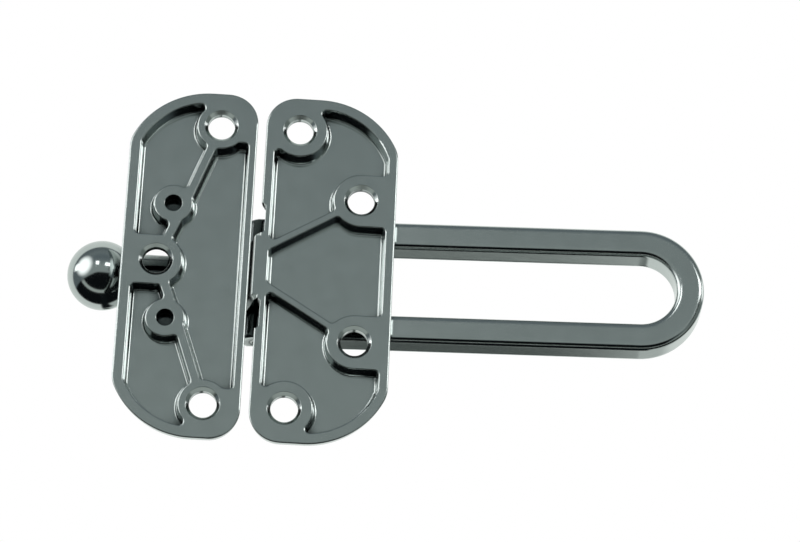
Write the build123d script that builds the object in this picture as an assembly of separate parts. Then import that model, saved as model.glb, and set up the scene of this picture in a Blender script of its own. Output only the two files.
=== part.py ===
from build123d import *
import os
from math import atan2, degrees, hypot

# Door guard: a ball plate for the door, a bar plate for the frame and a swing bar hinged on it.
# Seen as mounted: +Z runs up along the hinge pin, the back faces lie in the wall plane Y = 0,
# the fronts face -Y, and the hinge pin stands at X = 0. The ball plate is on the +X side.
# Every length is in millimetres and every angle in degrees.

# Plates
plate_height = 69.9
plate_thickness = 4.0
bar_plate_width = 25.9
ball_plate_width = 24.5
plate_gap = 1.55
gap_corner_radius = 6.0
end_arc_radius = 16.6
end_arc_inset = 15.5
outer_corner_radius = 6.0
side_draft = 7.0
front_edge_radius = 2.5
back_edge_radius = 0.25

# Pockets in the backs of the plates
pocket_depth = 3.0
pocket_draft = 8.0
pocket_end_corner_radius = 1.5
pocket_corner_radius = 0.9
pocket_root_radius = 0.35
bar_plate_rim = 1.9
ball_plate_outer_rim = 2.2
ball_plate_gap_rim = 1.6
end_rim = 2.1

# Screw holes, each in a boss of its own
screw_hole_diameter = 5.2
screw_rim_chamfer = 0.65
screw_head_diameter = 9.0
screw_head_depth = 2.0
bar_boss_radius = 5.35
ball_end_boss_radius = 4.7
ball_side_boss_radius = 5.0
end_hole_inset = 6.8
outer_hole_spacing = 28.7
bar_gap_hole_inset = 6.6
bar_outer_hole_inset = 6.8
ball_gap_hole_inset = 7.1
ball_outer_hole_inset = 6.7

# Blind holes and their round bosses in the back of the ball plate
blind_hole_diameter = 3.4
blind_hole_depth = 2.6
blind_boss_radius = 3.75
blind_boss_inset = 9.2
blind_boss_spacing = 23.2

# Stiffening ribs
bar_rib_width = 1.3
bar_rib_root_height = 8.0
ball_rib_width = 1.8
ball_rib_knee_inset = 11.4
corner_web_reach = 3.2

# Swing bar
bar_length = 85.0
bar_slot = 13.8
bar_arm_width = 5.25
bar_depth = 8.0
bar_back_radius = 0.9
bar_front_radius = 2.1
knuckle_edge_radius = 0.6
bar_rest_lean = 4.4

# Hinge
hinge_depth = 10.6
hinge_edge_inset = 1.2
pin_diameter = 3.0
pin_running_clearance = 0.05
pin_end_recess = 0.3
post_side_clearance = 0.25
lug_proud = 0.8
post_edge_chamfer = 0.7
notch_depth = 0.85
notch_height_clearance = 0.8

# Ball and its bent finger
ball_diameter = 13.5
ball_depth = 11.4
ball_overhang = 4.0
finger_diameter = 9.2
finger_root_inset = 10.0
finger_bend_radius = 5.2
finger_root_fillet = 1.2

# Places worked out from the sizes above
ball_plate_edge = hinge_edge_inset + plate_gap
gap_hole_z = plate_height / 2 - end_hole_inset
arm_center = (bar_slot + bar_arm_width) / 2
knuckle_radius = bar_depth / 2
post_height = bar_slot - 2 * post_side_clearance
ball_x = ball_plate_edge + ball_plate_width + ball_overhang
finger_x = ball_plate_edge + finger_root_inset
past_everything = 4 * plate_height
edge_search_margin = 0.01

from_base = (Align.CENTER, Align.CENTER, Align.MIN)


def behind(x, z, depth=0.0):
    """Place on a plate's back: x from its gap edge, z up, depth forward from the wall plane."""
    return Plane.XZ * Pos(x, z, depth)


def half_moon(width, outer_radius, gap_rim=0.0, outer_rim=0.0, end_rim_width=0.0):
    """Half-moon outline with its gap edge at x = 0, drawn in by the given rims."""
    height = plate_height - 2 * end_rim_width
    arc_x = width - end_arc_inset
    arc_radius = end_arc_radius - end_rim_width
    length = width - gap_rim - outer_rim
    straight = Pos(gap_rim + length / 2, 0) * Rectangle(length, height)
    gap_side = Pos(arc_x / 2, 0) * Rectangle(arc_x, height)
    round_side = Pos(arc_x, 0) * SlotOverall(height, 2 * arc_radius, rotation=90)
    face = straight & (gap_side + round_side)
    face = fillet(face.vertices().group_by(Axis.X)[0], gap_corner_radius - gap_rim)
    return fillet(face.vertices().group_by(Axis.X)[-1], outer_radius)


def plate_blank(width):
    """Solid plate with drafted sides, a well rounded front edge and a dulled back edge."""
    outline = half_moon(width, outer_corner_radius)
    blank = extrude(behind(0, 0) * outline, plate_thickness, taper=side_draft)
    front = blank.faces().sort_by(Axis.Y)[0]
    blank = fillet(front.edges(), front_edge_radius)
    back = blank.faces().sort_by(Axis.Y)[-1]
    return fillet(back.edges(), back_edge_radius)


def boss(x, z, radius):
    """Outline of a round boss."""
    return Pos(x, z) * Circle(radius)


def side_boss(x, z, width, radius):
    """Outline of a boss that runs straight out into the rim along the outer edge."""
    reach = 2 * (width - x)
    return Pos(x + reach / 2, z) * SlotCenterToCenter(reach, 2 * radius)


def corner_boss(x, z, radius):
    """Outline of a boss that runs out into the end rim and across to the gap rim."""
    side = 1 if z > 0 else -1
    past_end = z + side * plate_height / 2
    block = Pos(x / 2, past_end) * Rectangle(x, plate_height)
    web = Pos(x / 2, past_end - side * corner_web_reach) * Rectangle(x, plate_height)
    return boss(x, z, radius) + block + web


def rib(start, end, width):
    """Outline of a straight rib between two points."""
    run = (end[0] - start[0], end[1] - start[1])
    middle = ((start[0] + end[0]) / 2, (start[1] + end[1]) / 2)
    angle = degrees(atan2(run[1], run[0]))
    return Pos(*middle) * Rot(0, 0, angle) * SlotCenterToCenter(hypot(*run), width)


def pocket(width, gap_rim, outer_rim, standing):
    """Drafted recess round the bosses and ribs left standing, with its corners rounded."""
    outline = half_moon(width, pocket_end_corner_radius, gap_rim, outer_rim, end_rim)
    open_area = offset(outline - standing, -pocket_corner_radius)
    open_area = offset(open_area, pocket_corner_radius, kind=Kind.ARC)
    recess = Part()
    for area in open_area.faces():
        cell = extrude(behind(0, 0) * area, pocket_depth, taper=pocket_draft)
        floor = cell.faces().sort_by(Axis.Y)[0]
        recess += fillet(floor.edges(), pocket_root_radius)
    return recess


def hollow(plate, recess):
    """Cut a recess into a plate's back and dull the edge round its mouth."""
    cut = plate - recess
    mouth = new_edges(plate, combined=cut)
    mouth = mouth.filter_by_position(Axis.Y, -edge_search_margin, edge_search_margin)
    return fillet(mouth, back_edge_radius)


def screw_hole(x, z):
    """Through hole, chamfered at the back and countersunk at the front."""
    bore = screw_hole_diameter / 2
    head = screw_head_diameter / 2
    sink = behind(x, z, plate_thickness - screw_head_depth)
    return (
        behind(x, z) * Cylinder(bore, plate_thickness, align=from_base)
        + behind(x, z) * Cone(bore + screw_rim_chamfer, bore, screw_rim_chamfer, align=from_base)
        + sink * Cone(bore, head, screw_head_depth, align=from_base)
    )


def blind_hole(x, z):
    """Cored hole that stops short of the plate's front skin."""
    return behind(x, z) * Cylinder(blind_hole_diameter / 2, blind_hole_depth, align=from_base)


def to_bar_side(shape):
    """Turn a shape drawn from its gap edge over to the bar plate's side of the gap."""
    return Pos(hinge_edge_inset, 0, 0) * mirror(shape, about=Plane.YZ)


def to_ball_side(shape):
    """Move a shape drawn from its gap edge to the ball plate's side of the gap."""
    return Pos(ball_plate_edge, 0, 0) * shape


def bar_pocket():
    """Pocket of the bar plate, with four screw bosses and two ribs from the hinge."""
    outer_z = outer_hole_spacing / 2
    outer_x = bar_plate_width - bar_outer_hole_inset
    standing = Sketch()
    for side in (1, -1):
        standing += boss(bar_gap_hole_inset, side * gap_hole_z, bar_boss_radius)
        standing += side_boss(outer_x, side * outer_z, bar_plate_width, bar_boss_radius)
        root = (bar_plate_rim, side * bar_rib_root_height / 2)
        standing += rib(root, (outer_x, side * outer_z), bar_rib_width)
    return pocket(bar_plate_width, bar_plate_rim, bar_plate_rim, standing)


def ball_pocket():
    """Pocket of the ball plate, with its bosses and the chain of ribs that joins them."""
    blind_z = blind_boss_spacing / 2
    outer_x = ball_plate_width - ball_outer_hole_inset
    blind_x = ball_plate_width - blind_boss_inset
    knee_x = ball_plate_width - ball_rib_knee_inset
    standing = side_boss(outer_x, 0, ball_plate_width, ball_side_boss_radius)
    for side in (1, -1):
        knee = (knee_x, side * blind_z)
        standing += corner_boss(ball_gap_hole_inset, side * gap_hole_z, ball_end_boss_radius)
        standing += boss(blind_x, side * blind_z, blind_boss_radius)
        standing += rib((ball_gap_hole_inset, side * gap_hole_z), knee, ball_rib_width)
        standing += rib((outer_x, 0), knee, ball_rib_width)
    return pocket(ball_plate_width, ball_plate_gap_rim, ball_plate_outer_rim, standing)


def hinge_post():
    """Barrel between the bar's arms, with the web that carries it from the plate."""
    web_width = knuckle_radius + hinge_edge_inset + lug_proud
    web_x = (hinge_edge_inset + lug_proud - knuckle_radius) / 2
    foot = Pos(web_x, -pocket_depth / 2) * Rectangle(web_width, pocket_depth)
    barrel = Pos(0, -hinge_depth) * Circle(knuckle_radius)
    plan = make_hull(foot.edges() + barrel.edges())
    post = extrude(plan, post_height / 2, both=True)
    return chamfer(post.faces().filter_by(Axis.Z).edges(), post_edge_chamfer)


def knuckle_notch(side):
    """Clearance notch in the bar plate's gap edge beside one knuckle."""
    height = bar_arm_width + notch_height_clearance
    z = side * (post_height + height) / 2
    shape = Box(2 * notch_depth, 4 * plate_thickness, height)
    shape = chamfer(shape.edges().filter_by(Axis.Y).group_by(Axis.X)[0], notch_depth / 2)
    return Pos(hinge_edge_inset, 0, z) * shape


def bar_plate():
    """Plate for the frame: half-moon casting with the hinge post at its gap edge."""
    outer_x = bar_plate_width - bar_outer_hole_inset
    plate = to_bar_side(plate_blank(bar_plate_width)) + hinge_post()
    plate = hollow(plate, to_bar_side(bar_pocket()))
    for side in (1, -1):
        plate -= to_bar_side(screw_hole(bar_gap_hole_inset, side * gap_hole_z))
        plate -= to_bar_side(screw_hole(outer_x, side * outer_hole_spacing / 2))
        plate -= knuckle_notch(side)
    return plate - Pos(0, -hinge_depth, 0) * Cylinder(pin_diameter / 2, past_everything)


def ball_finger():
    """Round finger that rises from the plate, bends outward and ends in the ball."""
    radius = finger_diameter / 2
    bend_depth = ball_depth - finger_bend_radius
    bend_x = finger_x + finger_bend_radius
    root = Plane.XZ * Pos(finger_x, 0, pocket_depth)
    root *= Cylinder(radius, bend_depth - pocket_depth, align=from_base)
    section = Plane.XZ * Pos(finger_x, 0, bend_depth) * Circle(radius)
    bend = revolve(section, Axis((bend_x, -bend_depth, 0), (0, 0, 1)), 90)
    arm = Plane.YZ * Pos(-ball_depth, 0, bend_x)
    arm *= Cylinder(radius, ball_x - bend_x, align=from_base)
    ball = Pos(ball_x, -ball_depth, 0) * Sphere(ball_diameter / 2)
    return root + bend + arm + ball


def ball_plate():
    """Plate for the door: half-moon casting with the bent finger and the ball."""
    outer_x = ball_plate_width - ball_outer_hole_inset
    blind_x = ball_plate_width - blind_boss_inset
    plate = to_ball_side(plate_blank(ball_plate_width)) + ball_finger()
    foot = plate.edges().filter_by(GeomType.CIRCLE).filter_by_position(
        Axis.Y, -plate_thickness - edge_search_margin, -plate_thickness + edge_search_margin
    )
    plate = fillet(foot.sort_by(SortBy.LENGTH)[-1], finger_root_fillet)
    plate = hollow(plate, to_ball_side(ball_pocket()))
    plate -= to_ball_side(screw_hole(outer_x, 0))
    for side in (1, -1):
        plate -= to_ball_side(screw_hole(ball_gap_hole_inset, side * gap_hole_z))
        plate -= to_ball_side(blind_hole(blind_x, side * blind_boss_spacing / 2))
    return plate


def bar_section():
    """Section of the swing bar about its own middle: flat back, rounded front."""
    face = Rectangle(bar_arm_width, bar_depth)
    face = fillet(face.vertices().group_by(Axis.Y)[-1], bar_back_radius)
    return fillet(face.vertices().group_by(Axis.Y)[0], bar_front_radius)


def section_at(x, z, toward):
    """Bar section set across the bar at a point, facing along X the way it is drawn out."""
    return Plane(origin=(x, 0, z), x_dir=(0, 0, -toward), z_dir=(toward, 0, 0)) * bar_section()


def knuckle(side):
    """Rounded end of one arm, which turns on the pin."""
    end = extrude(section_at(0, side * arm_center, 1), knuckle_radius)
    barrel = Cylinder(knuckle_radius, bar_arm_width)
    barrel = fillet(barrel.edges().filter_by(GeomType.CIRCLE), knuckle_edge_radius)
    return end & (Pos(0, 0, side * arm_center) * barrel)


def swing_bar():
    """U-shaped bar, leaning back to the wall as it lies folded over the bar plate."""
    bend_x = bar_length - arm_center - bar_arm_width / 2
    arm = extrude(section_at(0, arm_center, -1), bend_x)
    bend = revolve(section_at(-bend_x, arm_center, -1), Axis((-bend_x, 0, 0), (0, -1, 0)), 180)
    bar = arm + bend + mirror(arm, about=Plane.XY) + knuckle(1) + knuckle(-1)
    bar -= Cylinder(pin_diameter / 2 + pin_running_clearance, past_everything)
    return Pos(0, -hinge_depth, 0) * Rot(0, 0, -bar_rest_lean) * bar


def hinge_pin():
    """Plain pin pressed into the post, with both arms running on its ends."""
    length = 2 * arm_center + bar_arm_width - 2 * pin_end_recess
    return Pos(0, -hinge_depth, 0) * Cylinder(pin_diameter / 2, length)


os.makedirs("parts", exist_ok=True)
for name, build in (
    ("ball_plate", ball_plate),
    ("bar_plate", bar_plate),
    ("swing_bar", swing_bar),
    ("hinge_pin", hinge_pin),
):
    export_step(build(), f"parts/{name}.step")
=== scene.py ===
"""Looks of a swing bar door guard: two plated castings, the bar between them and its pin.

Lengths are in millimetres until a mesh or a node is written, which is in metres.
"""

import logging
import math
from dataclasses import dataclass
from enum import Enum

import bpy
from mathutils import Matrix, Vector


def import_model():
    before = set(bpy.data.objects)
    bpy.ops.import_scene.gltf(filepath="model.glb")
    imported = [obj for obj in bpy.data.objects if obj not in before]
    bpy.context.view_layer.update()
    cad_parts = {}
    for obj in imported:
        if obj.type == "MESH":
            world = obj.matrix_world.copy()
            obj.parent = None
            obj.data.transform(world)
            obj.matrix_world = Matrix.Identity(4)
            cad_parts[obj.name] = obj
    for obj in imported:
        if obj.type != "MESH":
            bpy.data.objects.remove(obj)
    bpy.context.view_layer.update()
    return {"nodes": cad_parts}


MM = 0.001
# Sockets of the Mix node that belong to its colours. Their names are used more than once there.
MIX_SHARE, MIX_FROM, MIX_TO, MIX_RESULT = 0, 6, 7, 2
log = logging.getLogger("door_guard")


class Toward(Enum):
    """Named directions of the room, from the guard outwards. The camera stands at the back."""

    ACROSS = (1.0, 0.0, 0.0)
    BACK = (0.0, 1.0, 0.0)
    UP = (0.0, 0.0, 1.0)
    LOW = (-0.33, 0.0, -0.944)
    BACKDROP = (0.0, -0.94, 0.34)
    WINDOW = (0.84, 0.46, 0.28)


def linear(hex_colour: str) -> tuple[float, float, float, float]:
    """Turn an sRGB hex colour into linear light, by the sRGB curve.

    Args:
        hex_colour: six hex digits, with or without a leading hash.

    Returns:
        Red, green and blue in linear light, and an alpha of 1.
    """
    digits = hex_colour.lstrip("#")
    parts = [int(digits[i : i + 2], 16) / 255 for i in (0, 2, 4)]
    light = [c / 12.92 if c <= 0.04045 else ((c + 0.055) / 1.055) ** 2.4 for c in parts]
    return (*light, 1.0)


def cleared_tree(owner: bpy.types.Material | bpy.types.World) -> bpy.types.NodeTree:
    """Switch on an owner's nodes and empty its tree.

    Args:
        owner: new material or world.

    Returns:
        Its node tree, without nodes.
    """
    owner.use_nodes = True
    owner.node_tree.nodes.clear()
    return owner.node_tree


def add_node(
    tree: bpy.types.NodeTree,
    kind: str,
    inputs: dict[str | int, object] | None = None,
    **settings: object,
) -> bpy.types.Node:
    """Add a node, set what it is given and link what comes from other nodes.

    Args:
        tree: node tree that gets the node.
        kind: the node's type name.
        inputs: input name or number to a plain value, or to an output socket to link from.
        **settings: the node's own settings.

    Returns:
        The new node.
    """
    node = tree.nodes.new(kind)
    for name, value in settings.items():
        setattr(node, name, value)
    for key, value in (inputs or {}).items():
        if isinstance(value, bpy.types.NodeSocket):
            tree.links.new(value, node.inputs[key])
        else:
            node.inputs[key].default_value = value
    return node


@dataclass(frozen=True)
class PlatedZinc:
    """Bright chrome plating over a zinc die casting.

    The plating follows the casting's skin, so it mirrors softly: broad ripples of a few
    millimetres bend the reflections, a fine orange peel of under a millimetre frosts them a
    little, and faint clouds in the chrome vary how bright they are. Closed recesses are painted
    darker: painted shade, where the room's light hardly gets in.
    """

    name: str = "chrome_plated_zinc"
    bright: str = "#BEC5C3"
    cloudy: str = "#B8BFBD"
    cloud_mm: float = 3.5
    cloud_detail: float = 4.0
    cloud_limits: tuple[float, float] = (0.3, 0.7)
    roughness: float = 0.11
    ripple_mm: float = 5.0
    ripple_height_mm: float = 0.012
    peel_mm: float = 0.7
    peel_height_mm: float = 0.002
    relief_detail: float = 2.0
    edge_mm: float = 0.15
    edge_samples: int = 6
    # Painted shade laid over closed hollows, with how far and how finely it looks for them.
    painted_shade: str = "#3A4040"
    painted_shade_mm: float = 12.0
    painted_shade_samples: int = 12
    own_limits: tuple[float, float] = (0.35, 0.6)
    outward_limits: tuple[float, float] = (0.32, 0.5)
    edge_on: str = "#FFFFFF"

    def material(self) -> bpy.types.Material:
        """Build the plating on Object coordinates.

        Returns:
            The material.
        """
        made = bpy.data.materials.new(self.name)
        tree = cleared_tree(made)
        place = add_node(tree, "ShaderNodeTexCoord").outputs["Object"]
        tint = self.tint(tree, place)
        unshaded_share = self.unshaded_share(tree)
        # Painted shade: in closed recesses it darkens the colour seen straight on, and the one
        # seen edge on as well, which on a metal is white whatever its own colour.
        shaded_tint, edge_on = (
            add_node(
                tree,
                "ShaderNodeMix",
                {MIX_SHARE: unshaded_share, MIX_FROM: linear(self.painted_shade), MIX_TO: free},
                data_type="RGBA",
            ).outputs[MIX_RESULT]
            for free in (tint, linear(self.edge_on))
        )
        shader = add_node(
            tree,
            "ShaderNodeBsdfPrincipled",
            {
                "Base Color": shaded_tint,
                "Specular Tint": edge_on,
                "Metallic": 1.0,
                "Roughness": self.roughness,
                "Normal": self.normal(tree, place),
            },
        )
        add_node(tree, "ShaderNodeOutputMaterial", {"Surface": shader.outputs["BSDF"]})
        return made

    def tint(self, tree: bpy.types.NodeTree, place: bpy.types.NodeSocket) -> bpy.types.NodeSocket:
        """Vary the chrome's colour in faint clouds.

        Args:
            tree: the material's nodes.
            place: Object coordinates.

        Returns:
            The colour's socket.
        """
        low, high = self.cloud_limits
        clouds = add_node(
            tree,
            "ShaderNodeTexNoise",
            {"Vector": place, "Scale": 1 / (self.cloud_mm * MM), "Detail": self.cloud_detail},
        )
        share = add_node(
            tree,
            "ShaderNodeMapRange",
            {"Value": clouds.outputs["Fac"], "From Min": low, "From Max": high},
        )
        return add_node(
            tree,
            "ShaderNodeMix",
            {
                MIX_SHARE: share.outputs["Result"],
                MIX_FROM: linear(self.cloudy),
                MIX_TO: linear(self.bright),
            },
            data_type="RGBA",
        ).outputs[MIX_RESULT]

    def unshaded_share(self, tree: bpy.types.NodeTree) -> bpy.types.NodeSocket:
        """Tell open surfaces from closed recesses, which get the painted shade.

        The openness is taken about the surface's own normal and about the way out of the plates'
        backs, and the larger share counts, so a pocket's wall stays bright and a gap turns dark.

        Args:
            tree: the material's nodes.

        Returns:
            Socket with 1 on an open surface and 0 in a closed hollow, where the shade is painted.
        """
        outward = add_node(
            tree,
            "ShaderNodeVectorTransform",
            {"Vector": add_node(tree, "ShaderNodeCombineXYZ", {"Y": 1.0}).outputs["Vector"]},
            vector_type="NORMAL",
            convert_from="OBJECT",
            convert_to="WORLD",
        ).outputs["Vector"]
        unshaded_share = 0.0
        for facing, (closed, free) in (
            ({}, self.own_limits),
            ({"Normal": outward}, self.outward_limits),
        ):
            openness = add_node(
                tree,
                "ShaderNodeAmbientOcclusion",
                {"Distance": self.painted_shade_mm * MM, **facing},
                samples=self.painted_shade_samples,
            )
            share = add_node(
                tree,
                "ShaderNodeMapRange",
                {"Value": openness.outputs["AO"], "From Min": closed, "From Max": free},
            )
            unshaded_share = add_node(
                tree,
                "ShaderNodeMath",
                {0: unshaded_share, 1: share.outputs["Result"]},
                operation="MAXIMUM",
            ).outputs["Value"]
        return unshaded_share

    def normal(
        self, tree: bpy.types.NodeTree, place: bpy.types.NodeSocket
    ) -> bpy.types.NodeSocket:
        """Round the edges, then lay the ripples and the orange peel over them.

        Args:
            tree: the material's nodes.
            place: Object coordinates.

        Returns:
            The normal's socket.
        """
        rounded = add_node(
            tree, "ShaderNodeBevel", {"Radius": self.edge_mm * MM}, samples=self.edge_samples
        )
        normal = rounded.outputs["Normal"]
        for size, height in (
            (self.ripple_mm, self.ripple_height_mm),
            (self.peel_mm, self.peel_height_mm),
        ):
            relief = add_node(
                tree,
                "ShaderNodeTexNoise",
                {"Vector": place, "Scale": 1 / (size * MM), "Detail": self.relief_detail},
            )
            normal = add_node(
                tree,
                "ShaderNodeBump",
                {"Height": relief.outputs["Fac"], "Distance": height * MM, "Normal": normal},
            ).outputs["Normal"]
        return normal


@dataclass(frozen=True)
class DrawnSteel:
    """Drawn steel wire, cut to length.

    Drawing leaves a satin surface with fine lines, which here run round the pin and spread its
    reflection along it. They are finer than a pixel from the camera and aren't drawn coarser,
    because only the ends of the pin come into view.
    """

    name: str = "drawn_steel"
    colour: str = "#A9A9A6"
    roughness: float = 0.28
    line_mm: float = 0.12
    line_height_mm: float = 0.004
    line_detail: float = 1.0
    stretch: tuple[float, float, float] = (0.1, 0.1, 1.0)

    def material(self) -> bpy.types.Material:
        """Build the steel, whose normals waver along the pin.

        Returns:
            The material.
        """
        made = bpy.data.materials.new(self.name)
        tree = cleared_tree(made)
        place = add_node(tree, "ShaderNodeTexCoord").outputs["Object"]
        drawn = add_node(tree, "ShaderNodeMapping", {"Vector": place, "Scale": self.stretch})
        lines = add_node(
            tree,
            "ShaderNodeTexNoise",
            {
                "Vector": drawn.outputs["Vector"],
                "Scale": 1 / (self.line_mm * MM),
                "Detail": self.line_detail,
            },
        )
        bump = add_node(
            tree,
            "ShaderNodeBump",
            {"Height": lines.outputs["Fac"], "Distance": self.line_height_mm * MM},
        )
        shader = add_node(
            tree,
            "ShaderNodeBsdfPrincipled",
            {
                "Base Color": linear(self.colour),
                "Metallic": 1.0,
                "Roughness": self.roughness,
                "Normal": bump.outputs["Normal"],
            },
        )
        add_node(tree, "ShaderNodeOutputMaterial", {"Surface": shader.outputs["BSDF"]})
        return made


@dataclass(frozen=True)
class PaleCard:
    """Matt pale card, which runs out into the white background where the camera sees it.

    Card scatters light evenly, so the floor shows no reflection of the guard.
    """

    name: str = "pale_card"
    colour: str = "#F7F7F5"
    background: str = "#FFFFFF"
    roughness: float = 0.9
    fade_mm: tuple[float, float] = (600.0, 2000.0)

    def material(self) -> bpy.types.Material:
        """Build the card, with a glow that grows with the distance from the middle.

        Returns:
            The material.
        """
        made = bpy.data.materials.new(self.name)
        tree = cleared_tree(made)
        near, far = (limit * MM for limit in self.fade_mm)
        place = add_node(tree, "ShaderNodeTexCoord").outputs["Object"]
        out = add_node(tree, "ShaderNodeVectorMath", {0: place}, operation="LENGTH")
        fade = add_node(
            tree,
            "ShaderNodeMapRange",
            {"Value": out.outputs["Value"], "From Min": near, "From Max": far},
            interpolation_type="SMOOTHSTEP",
        )
        seen = add_node(tree, "ShaderNodeLightPath").outputs["Is Camera Ray"]
        share = add_node(
            tree, "ShaderNodeMath", {0: fade.outputs["Result"], 1: seen}, operation="MULTIPLY"
        )
        paint = add_node(
            tree,
            "ShaderNodeBsdfPrincipled",
            {"Base Color": linear(self.colour), "Roughness": self.roughness},
        )
        white = add_node(
            tree, "ShaderNodeEmission", {"Color": linear(self.background), "Strength": 1.0}
        )
        both = add_node(
            tree,
            "ShaderNodeMixShader",
            {
                "Fac": share.outputs["Value"],
                1: paint.outputs["BSDF"],
                2: white.outputs["Emission"],
            },
        )
        add_node(tree, "ShaderNodeOutputMaterial", {"Surface": both.outputs["Shader"]})
        return made


def dress(piece: bpy.types.Object, material: bpy.types.Material) -> None:
    """Put one material on every slot of a piece.

    Args:
        piece: mesh object to dress.
        material: its finish.
    """
    if not piece.material_slots:
        piece.data.materials.append(material)
    for slot in piece.material_slots:
        slot.material = material


@dataclass
class Guard:
    """The guard's four pieces: two plates and a bar of plated zinc, and a steel pin.

    The bar's edges are rounder than the plates', so its plating has a finish of its own.
    """

    plates: PlatedZinc = PlatedZinc()
    bar: PlatedZinc = PlatedZinc(name="chrome_plated_zinc_bar", edge_mm=1.0, edge_samples=16)
    pin: DrawnSteel = DrawnSteel()

    def dress(self, nodes: dict[str, bpy.types.Object]) -> None:
        """Give each node its finish.

        Args:
            nodes: the frame's nodes by name.
        """
        plating = self.plates.material()
        finishes = {"swing_bar": self.bar.material(), "hinge_pin": self.pin.material()}
        for name, node in nodes.items():
            dress(node, finishes.get(name, plating))
            log.info("dressed %s, %d faces", name, len(node.data.polygons))


@dataclass
class Camera:
    """Camera behind the guard and a little below it, as the photograph was taken.

    Its place was worked out from the outlines of the plates, the holes and the bar. Angles are
    in degrees.
    """

    target_mm: tuple[float, float, float] = (-25.93, 0.0, 0.40)
    azimuth: float = 177.556
    elevation: float = -19.988
    roll: float = 2.506
    distance_mm: float = 525.6
    focal_pixels: float = 2754.0
    frame_width: int = 800
    sensor_mm: float = 36.0

    def build(self) -> None:
        """Place the camera and make it the scene's own."""
        turn, rise, roll = (math.radians(a) for a in (self.azimuth, self.elevation, self.roll))
        ahead = Vector(
            (-math.sin(turn) * math.cos(rise), math.cos(turn) * math.cos(rise), -math.sin(rise))
        )
        right = Vector((math.cos(turn), math.sin(turn), 0))
        up = right.cross(ahead)
        right, up = (
            math.cos(roll) * right + math.sin(roll) * up,
            math.cos(roll) * up - math.sin(roll) * right,
        )
        data = bpy.data.cameras.new("camera")
        data.sensor_width = self.sensor_mm
        data.lens = self.sensor_mm * self.focal_pixels / self.frame_width
        made = bpy.data.objects.new("camera", data)
        place = Matrix((right, up, -ahead)).transposed().to_4x4()
        place.translation = (Vector(self.target_mm) - self.distance_mm * ahead) * MM
        made.matrix_world = place
        bpy.context.scene.collection.objects.link(made)
        bpy.context.scene.camera = made


@dataclass(frozen=True)
class Lamp:
    """Round soft lamp that faces the guard and isn't mirrored in it. Its power is in watts."""

    name: str
    place_mm: tuple[float, float, float]
    width_mm: float
    power: float

    def build(self) -> None:
        """Hang the lamp in its place and turn it to the guard."""
        data = bpy.data.lights.new(self.name, "AREA")
        data.shape = "DISK"
        data.size = self.width_mm * MM
        data.energy = self.power
        made = bpy.data.objects.new(self.name, data)
        made.location = Vector(self.place_mm) * MM
        made.rotation_mode = "QUATERNION"
        made.rotation_quaternion = Vector(self.place_mm).to_track_quat("Z", "Y")
        made.visible_glossy = False
        bpy.context.scene.collection.objects.link(made)


Limit = tuple[Toward, float, float]


@dataclass(frozen=True)
class Zone:
    """Part of the room's light, by direction: a colour that fades in between two limits.

    Each limit is (direction, outside, inside), in shares of that direction; a zone with
    several limits lies where all of them hold. The strength is 1 for a lit surface and more for
    a window or a lamp.
    """

    colour: str
    limits: tuple[Limit, ...]
    strength: float = 1.0


ON_BACKDROP: Limit = (Toward.BACKDROP, 0.28, 0.4)

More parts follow.
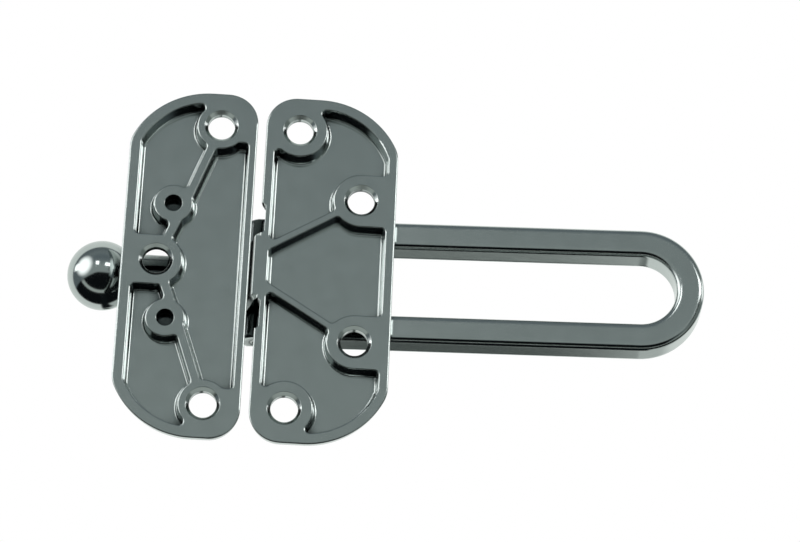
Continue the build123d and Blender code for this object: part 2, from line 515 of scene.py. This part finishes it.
# The room, painted in this order, each zone over those before it. The bar lies on the side where
# ACROSS is negative, and the ball on the other.
ROOM: tuple[Zone, ...] = (
    # Pale wall behind the camera, and its greyer upper part, which the flat backs mirror.
    Zone("#9CA4A3", ((Toward.BACK, 0.1, 0.7),)),
    Zone("#6C767B", ((Toward.BACK, 0.1, 0.7), (Toward.UP, 0.15, 0.75))),
    # Dark lower part, mirrored by what faces down.
    Zone("#111416", ((Toward.UP, -0.08, -0.18), (Toward.LOW, 0.0, 0.08))),
    # Grey wall behind the bar's side, nearly down to the floor: it keeps the flat backs grey when
    # they are seen from the ball's side.
    Zone(
        "#6A7377",
        ((Toward.ACROSS, -0.42, -0.55), (Toward.BACK, 0.35, 0.5), (Toward.UP, -0.75, -0.6)),
    ),
    # Black card at eye height, behind the bar's side.
    Zone(
        "#111416",
        (
            (Toward.UP, 0.3, 0.2),
            (Toward.UP, -0.05, 0.05),
            (Toward.ACROSS, -0.36, -0.42),
            (Toward.ACROSS, -0.68, -0.62),
            (Toward.BACK, 0.3, 0.5),
        ),
    ),
    # Grey wall on the bar's side.
    Zone(
        "#7C8481",
        ((Toward.ACROSS, -0.5, -0.65), (Toward.BACK, 0.0, 0.15), (Toward.UP, -0.7, -0.6)),
    ),
    # Pale strip low down, a little behind the guard.
    Zone(
        "#B4BBB7",
        ((Toward.BACK, 0.16, 0.24), (Toward.BACK, 0.42, 0.34), (Toward.UP, -0.3, -0.45)),
    ),
    # White backdrop in front of the guard, and the greyer parts low on it at the bar's side.
    Zone("#EDF2EF", (ON_BACKDROP,)),
    Zone("#9AA19E", (ON_BACKDROP, (Toward.UP, -0.1, -0.3), (Toward.ACROSS, 0.04, -0.03))),
    Zone("#C8CECB", (ON_BACKDROP, (Toward.UP, -0.1, -0.3), (Toward.ACROSS, -0.02, -0.16))),
    # Black card low in front of the guard, and a dark grey strip low on the backdrop: the lower
    # sides of the arms mirror them as bands.
    Zone(
        "#15191B",
        (
            (Toward.UP, -0.37, -0.42),
            (Toward.ACROSS, 0.03, -0.03),
            (Toward.ACROSS, -0.3, -0.2),
            (Toward.BACK, 0.15, 0.08),
        ),
    ),
    Zone(
        "#4E5452",
        (
            ON_BACKDROP,
            (Toward.UP, -0.1, -0.2),
            (Toward.UP, -0.352, -0.332),
            (Toward.ACROSS, 0.04, -0.03),
            (Toward.ACROSS, -0.15, -0.09),
        ),
    ),
    # Window beside the ball.
    Zone("#FFFFFF", ((Toward.WINDOW, 0.84, 0.99),), 2.2),
    # Two bright panels above the camera, a narrow one and a wide one.
    Zone(
        "#FFFFFF",
        (
            (Toward.ACROSS, 0.15, 0.18),
            (Toward.ACROSS, 0.34, 0.3),
            (Toward.UP, 0.295, 0.325),
            (Toward.UP, 0.52, 0.45),
            (Toward.BACK, 0.2, 0.4),
        ),
        3.5,
    ),
    Zone(
        "#FFFFFF",
        (
            (Toward.ACROSS, -0.16, -0.2),
            (Toward.ACROSS, -0.66, -0.6),
            (Toward.UP, 0.25, 0.3),
            (Toward.UP, 0.45, 0.41),
            (Toward.BACK, 0.2, 0.4),
        ),
        3.5,
    ),
    # A bright panel far out at each side.
    Zone(
        "#FFFFFF",
        (
            (Toward.ACROSS, -0.8, -0.88),
            (Toward.UP, 0.15, 0.25),
            (Toward.UP, 0.52, 0.44),
            (Toward.BACK, -0.25, 0.0),
        ),
        1.8,
    ),
    Zone(
        "#FFFFFF",
        (
            (Toward.ACROSS, 0.9, 0.96),
            (Toward.UP, 0.1, 0.2),
            (Toward.UP, 0.6, 0.5),
            (Toward.BACK, -0.25, 0.0),
        ),
        3.0,
    ),
)


@dataclass
class Studio:
    """Photographer's room: bright panels, a grey wall behind the camera, and dark below."""

    floor_depth_mm: float = 420.0
    floor_side_mm: float = 4400.0
    card: PaleCard = PaleCard()
    background: str = "#FFFFFF"
    fill: str = "#F0F0F0"
    plain: str = "#6A7377"
    zones: tuple[Zone, ...] = ROOM
    lamps: tuple[Lamp, ...] = (
        Lamp("left_lamp", (595.0, 329.0, 196.0), 320.0, 2.0),
        Lamp("right_lamp", (-560.0, 350.0, 210.0), 320.0, 2.0),
        Lamp("front_lamp", (0.0, -600.0, 500.0), 600.0, 4.0),
    )

    def build(self) -> None:
        """Make the floor, the lamps and the world."""
        self.floor()
        for lamp in self.lamps:
            lamp.build()
        self.world()

    def floor(self) -> None:
        """Lay a floor well below the guard: a flat square of four corners.

        The plating doesn't mirror it: it shows the room's dark lower part instead, as in a shot
        taken over a black card.
        """
        half = self.floor_side_mm * MM / 2
        z = -self.floor_depth_mm * MM
        corners = [(-half, -half, z), (half, -half, z), (half, half, z), (-half, half, z)]
        mesh = bpy.data.meshes.new("floor")
        mesh.from_pydata(corners, [], [(0, 1, 2, 3)])
        made = bpy.data.objects.new("floor", mesh)
        bpy.context.scene.collection.objects.link(made)
        made.visible_glossy = False
        dress(made, self.card.material())

    def world(self) -> None:
        """Light the room: white to the camera, painted by direction to a mirror, else plain."""
        made = bpy.data.worlds.new("studio")
        bpy.context.scene.world = made
        tree = cleared_tree(made)
        path = add_node(tree, "ShaderNodeLightPath").outputs
        mirrored = add_node(
            tree,
            "ShaderNodeMath",
            {0: path["Is Glossy Ray"], 1: path["Is Transmission Ray"]},
            operation="MAXIMUM",
        )
        lit = add_node(
            tree,
            "ShaderNodeMix",
            {
                MIX_SHARE: mirrored.outputs["Value"],
                MIX_FROM: linear(self.fill),
                MIX_TO: self.room(tree),
            },
            data_type="RGBA",
        )
        seen = add_node(
            tree,
            "ShaderNodeMix",
            {
                MIX_SHARE: path["Is Camera Ray"],
                MIX_FROM: lit.outputs[MIX_RESULT],
                MIX_TO: linear(self.background),
            },
            data_type="RGBA",
        )
        light = add_node(
            tree, "ShaderNodeBackground", {"Color": seen.outputs[MIX_RESULT], "Strength": 1.0}
        )
        add_node(tree, "ShaderNodeOutputWorld", {"Surface": light.outputs["Background"]})

    def room(self, tree: bpy.types.NodeTree) -> bpy.types.NodeSocket:
        """Paint the zones over the plain room, each in the share of its limits multiplied.

        Args:
            tree: the world's nodes.

        Returns:
            Socket with the room's light in each direction.
        """
        toward = add_node(tree, "ShaderNodeTexCoord").outputs["Generated"]
        along = {
            direction: add_node(
                tree,
                "ShaderNodeVectorMath",
                {0: toward, 1: direction.value},
                operation="DOT_PRODUCT",
            ).outputs["Value"]
            for direction in Toward
        }
        room = linear(self.plain)
        for zone in self.zones:
            share = 1.0
            for direction, outside, inside in zone.limits:
                fade = add_node(
                    tree,
                    "ShaderNodeMapRange",
                    {"Value": along[direction], "From Min": outside, "From Max": inside},
                    interpolation_type="SMOOTHSTEP",
                )
                share = add_node(
                    tree,
                    "ShaderNodeMath",
                    {0: share, 1: fade.outputs["Result"]},
                    operation="MULTIPLY",
                ).outputs["Value"]
            light = tuple(zone.strength * part for part in linear(zone.colour))
            room = add_node(
                tree,
                "ShaderNodeMix",
                {MIX_SHARE: share, MIX_FROM: room, MIX_TO: light},
                data_type="RGBA",
            ).outputs[MIX_RESULT]
        return room


def main() -> None:
    """Load the frame, dress each piece, and set up the camera and the studio."""
    logging.basicConfig(level=logging.INFO, format="%(name)s: %(message)s")
    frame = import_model()
    Guard().dress(frame["nodes"])
    Camera().build()
    Studio().build()
    bpy.context.scene.view_settings.view_transform = "Standard"


if __name__ == "__main__":
    main()
